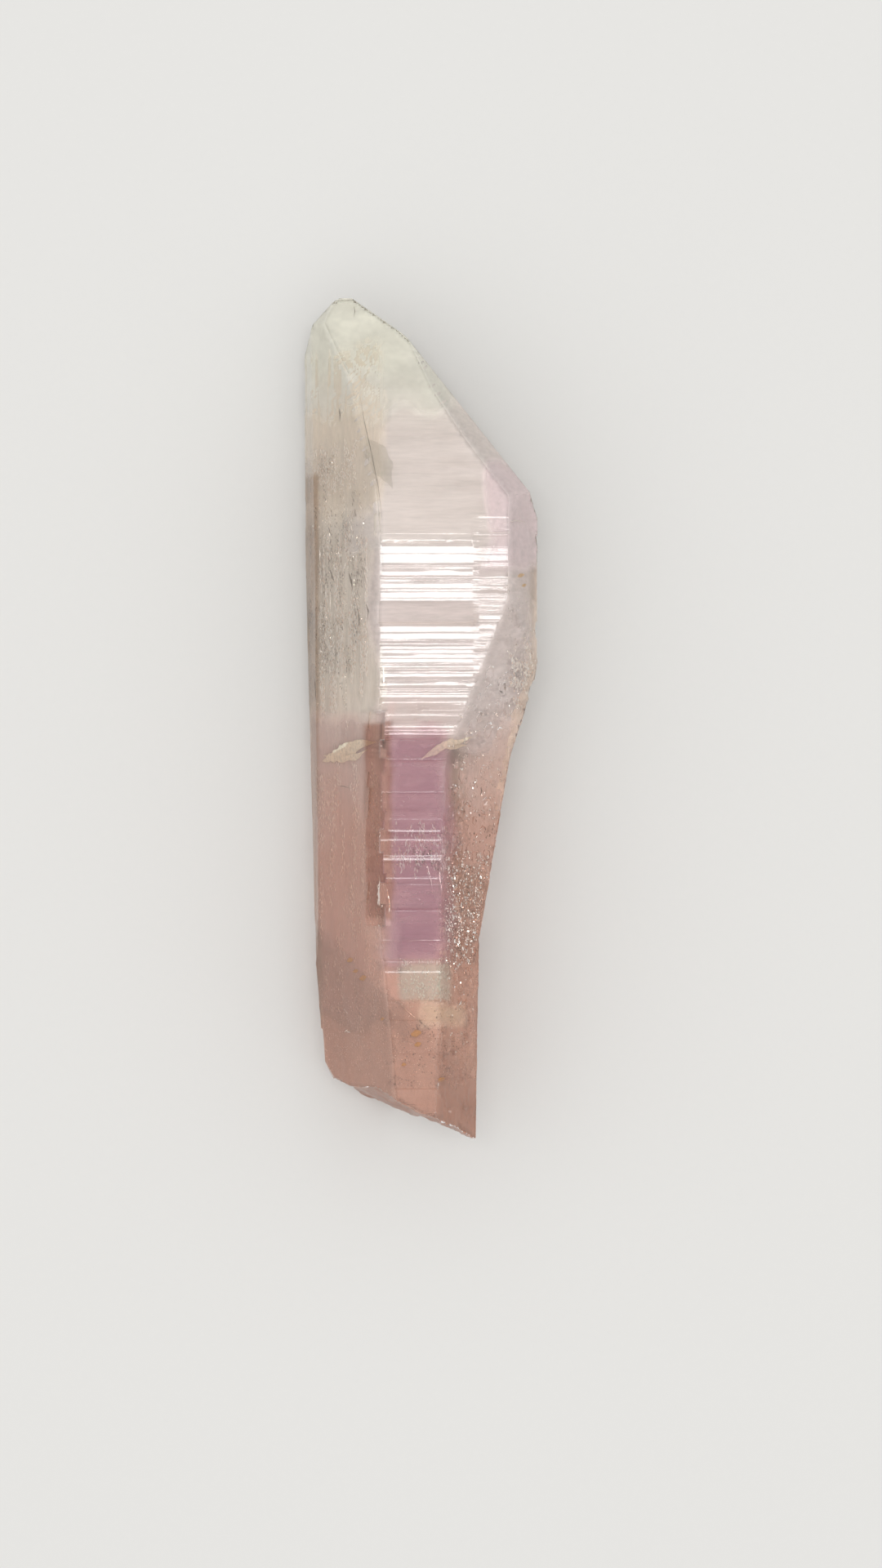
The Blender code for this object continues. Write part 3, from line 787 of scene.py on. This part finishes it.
# Each haze: name, its corners in the photograph, depth and width of its soft border in millimetres,
# opacity, colour, how fine its wisps are across and along, how steeply its upper border slants, and the
# height above which it doesn't rise.
HAZES = (
    Haze("tip", (300, 530), (700, 290), 1.0, 6.0, 0.97, "FFFDF6", (0.2, 0.2)),
    Haze("tip_deep", (300, 510), (700, 290), 3.0, 6.0, 0.6, "FFFBF0", (0.2, 0.2)),
    Haze("front", (424, 690), (660, 420), 1.2, 2.5, 0.66, "FBF3EF", (0.06, 0.5)),
    Haze("ladder", (436, 925), (648, 645), 1.6, 1.4, 0.66, "F7ECEA", (0.08, 0.5)),
    Haze("shoulder", (584, 705), (690, 560), 0.8, 1.8, 0.6, "FDEDF0", (0.3, 0.3)),
    Haze("right_band", (600, 890), (680, 675), 0.8, 1.5, 0.6, "FFEDDC", (0.4, 0.2), 0.0, 15.5),
    Haze("left_top", (330, 650), (486, 410), 1.0, 4.0, 0.6, "F9ECDB", (0.7, 0.12)),
    Haze("left_mid", (340, 920), (476, 560), 1.3, 2.0, 0.7, "FFF6EA", (0.9, 0.08)),
    Haze("lilac_core", (458, 1196), (564, 876), 1.2, 2.6, 0.5, "CCA2AC", (0.12, 0.4)),
    Haze("flank_top", (556, 1020), (675, 725), 0.8, 2.5, 0.85, "FFF0E2", (0.6, 0.2), 0.0, 17.0),
    Haze("flank", (530, 1090), (665, 870), 0.9, 3.0, 0.45, "FFEEE8", (0.6, 0.2), 0.0, 19.0),
    Haze("flank_flake", (616, 990), (655, 896), 0.4, 0.9, 0.5, "FFF4E6", (0.4, 0.3)),
    Haze("left_low", (350, 1270), (500, 850), 1.0, 4.0, 0.45, "E4CAC4", (0.8, 0.08)),
    Haze("root", (350, 1430), (620, 1096), 1.45, 5.0, 0.52, "F6DCD0", (0.35, 0.2)),
    Haze("fracture", (350, 1430), (620, 1098), 0.7, 1.6, 0.2, "B79C90", (0.5, 0.4), 0.9),
    Haze("cream", (510, 1262), (578, 1216), 0.5, 2.6, 0.8, "FFFBEA", (0.5, 0.5)),
)


def haze_mesh(crystal, haze):
    """A closed thin film under the crystal's surface, kept where it shows; fade says how thick it reads."""
    low, high = at(*haze.low), at(*haze.high)
    bm = open_grid(low, high, HAZE_GRID)
    fade = bm.verts.layers.float.new("fade")
    outside = []
    for v, x, y in grid_places(bm, low, high):
        spot = level_under(crystal, x, y, haze.depth, HAZE_THINNEST)
        if spot is None:
            outside.append(v)
            continue
        upper = high.y - haze.slant * (x - low.x) - y
        rim = min(x - low.x, high.x - x, y - low.y, upper) / haze.border
        wander = noise.noise(Vector((x * 0.22, y * 0.12, haze.depth)))
        rim -= max(0.0, HAZE_RAG[0] + HAZE_RAG[1] * wander)
        v[fade] = min(max(rim, 0.0), 1.0)
        spot.z = min(spot.z, haze.ceiling)
        v.co = spot * MM
    bmesh.ops.delete(bm, geom=outside, context="VERTS")
    clear = [face for face in bm.faces if not any(v[fade] for v in face.verts)]
    bmesh.ops.delete(bm, geom=clear, context="FACES")
    back = bmesh.ops.extrude_face_region(bm, geom=bm.faces[:])["geom"]
    for v in back:
        if isinstance(v, bmesh.types.BMVert):
            v.co.z -= HAZE_FILM * MM
    bmesh.ops.recalc_face_normals(bm, faces=bm.faces[:])
    mesh = finished_mesh(bm, haze.name)
    mesh.shade_smooth()
    return mesh


def haze_material(haze):
    """Mist of submicroscopic bubbles in the quartz: matt and pale, thinning out softly and in wisps."""
    material, tree, shader = new_material(f"{haze.name} haze")
    place = make_node(tree, "ShaderNodeTexCoord")
    fineness = (haze.fineness[0] / MM, haze.fineness[1] / MM, 0.2 / MM)
    drawn = make_node(
        tree, "ShaderNodeVectorMath", [(0, place, "Object")], [(1, fineness)], operation="MULTIPLY"
    )
    mist = make_node(tree, "ShaderNodeTexNoise", [("Vector", drawn, 0)], Scale=1.0, Detail=4.0, Roughness=0.6)
    wisps = make_node(
        tree, "ShaderNodeMapRange", [("Value", mist, 0)], From_Min=0.3, From_Max=0.7,
        To_Min=haze.opacity * 0.6, To_Max=min(haze.opacity * 1.4, 1.0),
    )
    fade = make_node(tree, "ShaderNodeAttribute", attribute_name="fade")
    veil = make_node(tree, "ShaderNodeMath", [(0, wisps, 0), (1, fade, "Fac")], operation="MULTIPLY")
    tree.links.new(veil.outputs[0], shader.inputs["Alpha"])
    shader.inputs["Base Color"].default_value = (*linear(haze.colour), 1)
    shader.inputs["Roughness"].default_value = 0.9
    return material


class QUARTZ_OT_breathe_haze(bpy.types.Operator):
    """Lay the soft haze films under the crystal's surface"""

    bl_idname = "quartz.breathe_haze"
    bl_label = "Breathe haze"

    def execute(self, context):
        crystal = bpy.data.objects["crystal"]
        for haze in HAZES:
            mesh = haze_mesh(crystal, haze)
            if not mesh.polygons:
                raise RuntimeError(f"haze {haze.name} is empty")
            finish_piece("haze_" + haze.name, mesh, haze_material(haze))
        return {"FINISHED"}


def ribbon_mesh(name, spine, widths, thick, seed):
    """A thin ragged lens along a spine of points, in millimetres, for wisps of dust, stains, hairlines and
    painted shade.
    """
    bm = bmesh.new()
    bmesh.ops.create_uvsphere(bm, u_segments=16, v_segments=24, radius=1.0)
    for v in bm.verts:
        share = (v.co.z + 1) / 2 * (len(spine) - 1)
        i = min(int(share), len(spine) - 2)
        part = share - i
        middle = spine[i].lerp(spine[i + 1], part)
        width = widths[i] * (1 - part) + widths[i + 1] * part
        ahead = (spine[i + 1] - spine[i]).normalized()
        side = Vector((0, 0, 1)).cross(ahead).normalized()
        rag = 1 + 0.55 * noise.noise(middle * 0.9 + Vector((v.co.x * 1.3, v.co.y, seed)))
        v.co = (middle + side * v.co.x * width * rag + side.cross(ahead) * v.co.y * thick) * MM
    bmesh.ops.recalc_face_normals(bm, faces=bm.faces[:])
    mesh = finished_mesh(bm, name)
    mesh.shade_smooth()
    return mesh


def dust_and_shade_material(name, rgb, alpha):
    """Fine clay and iron dust caught in the quartz, and painted shade beside the ladder's left edge: matt,
    and thin enough to see through at its rim.
    """
    material, tree, shader = new_material(name)
    place = make_node(tree, "ShaderNodeTexCoord")
    grain = make_node(
        tree, "ShaderNodeTexNoise", [("Vector", place, "Object")], Scale=1.6 / MM, Detail=5.0, Roughness=0.7
    )
    tones = [(6, (*(c * 0.85 for c in rgb), 1)), (7, (*rgb, 1))]
    tone = make_node(tree, "ShaderNodeMix", [(0, grain, 0)], tones, data_type="RGBA")
    fade = make_node(
        tree, "ShaderNodeMapRange", [("Value", grain, 0)], From_Min=0.38, From_Max=0.62,
        To_Min=alpha * 0.7, To_Max=alpha,
    )
    tree.links.new(tone.outputs[2], shader.inputs["Base Color"])
    tree.links.new(fade.outputs[0], shader.inputs["Alpha"])
    shader.inputs["Roughness"].default_value = 0.8
    return material


class StainSettings(bpy.types.PropertyGroup):
    wisp: colour("Wisp", "FFF1DA", "Colour of the clay wisps")
    # film: colour of the painted shade, a grey-green darkening beside the ladder's left edge
    film: colour("Film", "A29A88", "Colour of the painted smoky shade beside the ladder's left edge")
    iron: colour("Iron", "E6BE7C", "Colour of the iron stains")
    glint: colour("Glint", "FFF8F0", "Colour that silvery hairlines mirror")
    # crack: colour of the dark hairlines, and of the painted shade line along the left face's border with the
    # ladder
    crack: colour("Crack", "6E5F55", "Colour of the dark hairlines")


# Wisps: what they are of, spine in the photograph, half widths and depth, in millimetres.
WISPS = (
    ("clay", ((396, 932), (412, 926), (430, 916), (446, 911), (463, 909)), (0.6, 1.1, 1.0, 0.7, 0.1), 0.3),
    ("clay", ((398, 925), (420, 930), (441, 926), (452, 918)), (0.3, 0.5, 0.5, 0.1), 0.5),
    ("clay", ((516, 930), (532, 920), (548, 911), (566, 907), (581, 901)), (0.2, 0.6, 0.5, 0.35, 0.05), 0.3),
    ("clay", ((540, 917), (556, 914), (570, 912)), (0.15, 0.4, 0.1), 0.5),
    # The film wisp is painted shade: a faint grey-green darkening beside the ladder's left edge.
    ("film", ((450, 538), (459, 556), (471, 578), (482, 603)), (0.3, 1.4, 1.5, 0.2), 0.2),
)
# Iron stains: place in the photograph and radius in millimetres.
STAINS = (
    ((430, 1175), 0.5), ((437, 1188), 0.4), ((446, 1196), 0.55), ((510, 1262), 0.75), ((512, 1275), 0.5),
    ((540, 1318), 0.45), ((495, 1300), 0.35), ((470, 1245), 0.3), ((636, 706), 0.5), ((640, 718), 0.35),
)


STAIN_DEPTH = 0.25        # how deep the iron stains lie, in millimetres
STAIN_THICK = 0.08        # thickness of the stains and wisps
LINE_DEPTH = 0.05         # how deep the hairlines lie
LINE_THICK = 0.03         # their thickness
# Fine lines just under the surface: finish, half width in millimetres, spine in the photograph.
LINES = (
    ("dark", 0.05, ((433, 372), (434, 379), (433, 388))),
    ("silver", 0.07, ((538, 1062), (539, 1076), (541, 1092))),
    ("silver", 0.06, ((580, 1058), (583, 1080), (582, 1102))),
    ("silver", 0.05, ((522, 1056), (527, 1072), (530, 1090))),
    ("silver", 0.06, ((402, 1240), (411, 1233), (421, 1235), (429, 1244), (432, 1256))),
    ("silver", 0.22, ((420, 1266), (426, 1262), (433, 1265))),
    ("silver", 0.05, ((425, 1166), (460, 1201), (505, 1240), (560, 1285), (580, 1308))),
    ("silver", 0.12, ((470, 816), (471, 838), (469, 860))),
    ("silver", 0.10, ((474, 1084), (478, 1106), (476, 1128))),
    ("dark", 0.05, ((394, 585), (394, 690), (396, 800))),
    ("dark", 0.06, ((412, 962), (422, 963), (431, 966))),
    ("silver", 0.05, ((400, 940), (401, 952), (412, 961))),
    # Painted shade: a dark line along the border between the left face and the ladder face.
    ("dark", 0.05, ((441, 484), (447, 520), (456, 560), (464, 600), (470, 650))),
    ("silver", 0.10, ((612, 645), (630, 640), (648, 642))),
    ("silver", 0.14, ((391, 664), (392, 678), (391, 692))),
    ("silver", 0.16, ((425, 684), (423, 695), (419, 706))),
    ("silver", 0.12, ((404, 720), (405, 738), (404, 756))),
    ("silver", 0.10, ((414, 640), (416, 652), (415, 664))),
    ("dark", 0.22, ((427, 700), (431, 712), (433, 728))),
    ("dark", 0.14, ((448, 738), (452, 750), (451, 764))),
    ("dark", 0.14, ((415, 498), (417, 508), (416, 519))),
    ("dark", 0.14, ((403, 694), (407, 705), (411, 717))),
    ("dark", 0.12, ((438, 742), (441, 758), (440, 776))),
    ("dark", 0.10, ((384, 820), (386, 845), (386, 870))),
)


def line_material(name, rgb, metallic, roughness):
    """A hairline crack: it mirrors the light like silver, or reads as a dark thread. One dark line is painted
    shade along the left face's border with the ladder.
    """
    material, _, shader = new_material(name)
    shader.inputs["Base Color"].default_value = (*rgb, 1)
    shader.inputs["Metallic"].default_value = metallic
    shader.inputs["Roughness"].default_value = roughness
    shader.inputs["Alpha"].default_value = 0.6
    return material


class QUARTZ_OT_lay_stains(bpy.types.Operator):
    """Lay the clay wisps, iron stains, hairlines and painted shade just under the crystal's surface"""

    bl_idname = "quartz.lay_stains"
    bl_label = "Lay stains"

    def execute(self, context):
        look = context.scene.quartz_stains
        crystal = bpy.data.objects["crystal"]
        dusts_and_shade = {
            "clay": dust_and_shade_material("clay dust", look.wisp, 0.95),
            # The film finish paints shade beside the ladder's left edge.
            "film": dust_and_shade_material("painted smoky shade", look.film, 0.16),
        }
        iron = dust_and_shade_material("iron stain", look.iron, 0.9)
        lines = {
            "silver": line_material("silvery hairline", look.glint, 1.0, 0.15),
            # The dark hairline finish also draws painted shade along the left face's border with the ladder.
            "dark": line_material("dark hairline", look.crack, 0.0, 0.5),
        }
        jobs = [("wisp", spine, widths, depth, dusts_and_shade[dust]) for dust, spine, widths, depth in WISPS]
        for finish, width, spine in LINES:
            widths = [width * 0.4] + [width] * (len(spine) - 2) + [width * 0.1]
            jobs.append(("line", spine, widths, LINE_DEPTH, lines[finish]))
        for (px, py), radius in STAINS:
            reach = radius * PHOTO_SCALE
            spine = ((px - reach, py + reach * 0.4), (px, py), (px + reach, py - reach * 0.3))
            jobs.append(("iron", spine, (radius * 0.5, radius * 0.7, radius * 0.4), STAIN_DEPTH, iron))
        for i, (kind, spine, widths, depth, material) in enumerate(jobs):
            points = [level_under(crystal, *at(*pixel).xy, depth) for pixel in spine]
            if None in points:
                raise RuntimeError(f"{kind} {i} lies beside the crystal")
            thick = LINE_THICK if kind == "line" else STAIN_THICK
            finish_piece(f"{kind}_{i}", ribbon_mesh(f"{kind}_{i}", points, widths, thick, i), material)
        return {"FINISHED"}


def floor_material(look):
    """Matt painted board: plain, pale and without gloss, so that the crystal is all there is to see."""
    material, tree, shader = new_material("matt pale board")
    place = make_node(tree, "ShaderNodeTexCoord")
    grain = make_node(tree, "ShaderNodeTexNoise", [("Vector", place, "Object")], Scale=900.0, Detail=3.0)
    tones = [(6, (*(c * 0.985 for c in look.floor), 1)), (7, (*look.floor, 1))]
    tone = make_node(tree, "ShaderNodeMix", [("Factor", grain, 0)], tones, data_type="RGBA")
    tree.links.new(tone.outputs[2], shader.inputs["Base Color"])
    shader.inputs["Roughness"].default_value = 0.9
    shader.inputs["Specular IOR Level"].default_value = 0.1
    return material


def make_world(look):
    """Soft light from all around, dimmer towards the horizon so that steep faces read darker."""
    world = bpy.data.worlds.new("soft studio")
    world.use_nodes = True
    tree = world.node_tree
    tree.nodes.clear()
    place = make_node(tree, "ShaderNodeTexCoord")
    parts = make_node(tree, "ShaderNodeSeparateXYZ", [(0, place, "Generated")])
    ramp = make_node(tree, "ShaderNodeValToRGB", [(0, parts, "Z")])
    set_ramp(ramp, ((0.0, (0.50,) * 3), (0.35, (0.72,) * 3), (0.75, (1.0,) * 3)))
    light = make_node(tree, "ShaderNodeBackground", [("Color", ramp, 0)], Strength=look.sky)
    make_node(tree, "ShaderNodeOutputWorld", [(0, light, 0)])
    return world


def area_light(name, place, target, size, radiance):
    """A rectangular soft box of a given radiance, turned to a target."""
    lamp = bpy.data.lights.new(name, "AREA")
    lamp.shape = "RECTANGLE"
    lamp.size, lamp.size_y = size
    lamp.energy = radiance * math.pi * size[0] * size[1]
    made = add_object(name, lamp)
    made.location = place
    made.rotation_mode = "QUATERNION"
    made.rotation_quaternion = (Vector(target) - Vector(place)).to_track_quat("-Z", "Y")


def make_camera():
    """The camera looks straight down, placed so that the crystal lies where the photograph has it."""
    lens = bpy.data.cameras.new("camera")
    lens.sensor_fit = "VERTICAL"
    lens.sensor_height = 36.0
    lens.sensor_width = 36.0
    span = PHOTO_HEIGHT / PHOTO_SCALE * MM
    lens.lens = lens.sensor_height * (CAMERA_HEIGHT - FACE_HEIGHT) / span
    made = add_object("camera", lens)
    centre = at(PHOTO_WIDTH / 2, PHOTO_HEIGHT / 2) * MM
    made.location = (centre.x, centre.y, CAMERA_HEIGHT)
    bpy.context.scene.camera = made


class QUARTZ_OT_set_stage(bpy.types.Operator):
    """Set the floor, the soft lights and the camera"""

    bl_idname = "quartz.set_stage"
    bl_label = "Set stage"

    def execute(self, context):
        look = context.scene.quartz_stage
        bm = bmesh.new()
        bmesh.ops.create_grid(bm, x_segments=1, y_segments=1, size=FLOOR_REACH)
        mesh = finished_mesh(bm, "floor")
        mesh.materials.append(floor_material(look))
        floor = add_object("floor", mesh)
        floor.location.z = -FLOOR_GAP
        context.scene.world = make_world(look)
        make_camera()
        area_light("key", KEY_PLACE, (0, 0, 0), KEY_SIZE, look.key)
        context.scene.view_settings.view_transform = "Standard"
        return {"FINISHED"}


class QUARTZ_PT_panel(bpy.types.Panel):
    """Settings and steps of the quartz crystal"""

    bl_label = "Lemurian quartz"
    bl_idname = "QUARTZ_PT_panel"
    bl_space_type = "VIEW_3D"
    bl_region_type = "UI"
    bl_category = "Quartz"

    def draw(self, context):
        scene = context.scene
        for settings in (scene.quartz_body, scene.quartz_veils, scene.quartz_stains, scene.quartz_stage):
            box = self.layout.box()
            for name in settings.__annotations__:
                box.prop(settings, name)
        for step in STEPS:
            self.layout.operator(step.bl_idname)


STEPS = (QUARTZ_OT_set_stage, QUARTZ_OT_grow_crystal, QUARTZ_OT_breathe_haze, QUARTZ_OT_grow_veils,
         QUARTZ_OT_lay_stains)
SETTINGS = {
    "quartz_body": QuartzBodySettings, "quartz_veils": VeilSettings, "quartz_stains": StainSettings,
    "quartz_stage": StageSettings,
}
CLASSES = (*SETTINGS.values(), *STEPS, QUARTZ_PT_panel)


def register():
    for made in CLASSES:
        bpy.utils.register_class(made)
    for name, kind in SETTINGS.items():
        setattr(bpy.types.Scene, name, PointerProperty(type=kind))


def unregister():
    for name in SETTINGS:
        delattr(bpy.types.Scene, name)
    for made in reversed(CLASSES):
        bpy.utils.unregister_class(made)


def main():
    register()
    bpy.ops.quartz.set_stage()
    bpy.ops.quartz.grow_crystal()
    bpy.ops.quartz.breathe_haze()
    bpy.ops.quartz.grow_veils()
    bpy.ops.quartz.lay_stains()


if __name__ == "__main__":
    main()
